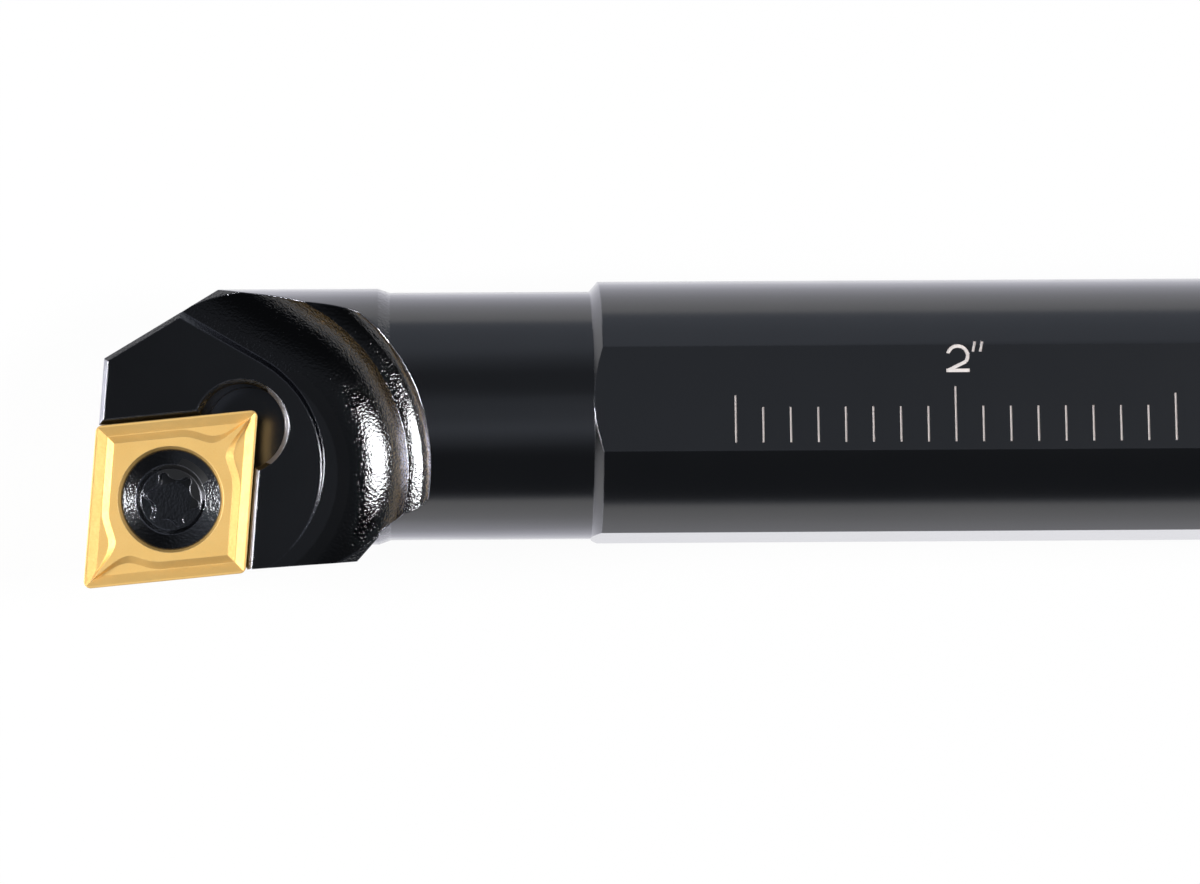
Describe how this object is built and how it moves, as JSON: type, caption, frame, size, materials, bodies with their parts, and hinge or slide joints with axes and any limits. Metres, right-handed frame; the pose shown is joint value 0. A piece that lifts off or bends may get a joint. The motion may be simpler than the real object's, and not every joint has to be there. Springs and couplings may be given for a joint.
{
  "type": "boring bar",
  "caption": "Indexable boring bar: round steel shank with ground flats and a depth scale, necked head with a chip gullet, diamond cutting insert and clamp screw.",
  "frame": {"origin": "centre of the rear end face of the shank, on the shank's axis", "axes": "the bar lies along X with its cutting tip at the -X end; +Z is out of the cutting face, which looks up; the tip points towards -Y"},
  "size_m": [0.2032, 0.018, 0.0158],
  "materials": {
    "black_oxide_steel": "black oxide over fine turned and ground steel, satin",
    "coated_carbide": "gold-coloured nitride coating over pressed carbide, semi-gloss",
    "blackened_screw_steel": "blackened alloy steel, semi-gloss"
  },
  "bodies": {
    "root": {"bar_body": "black_oxide_steel", "cutting_insert": "coated_carbide", "clamp_screw": "blackened_screw_steel"}
  },
  "joints": []
}
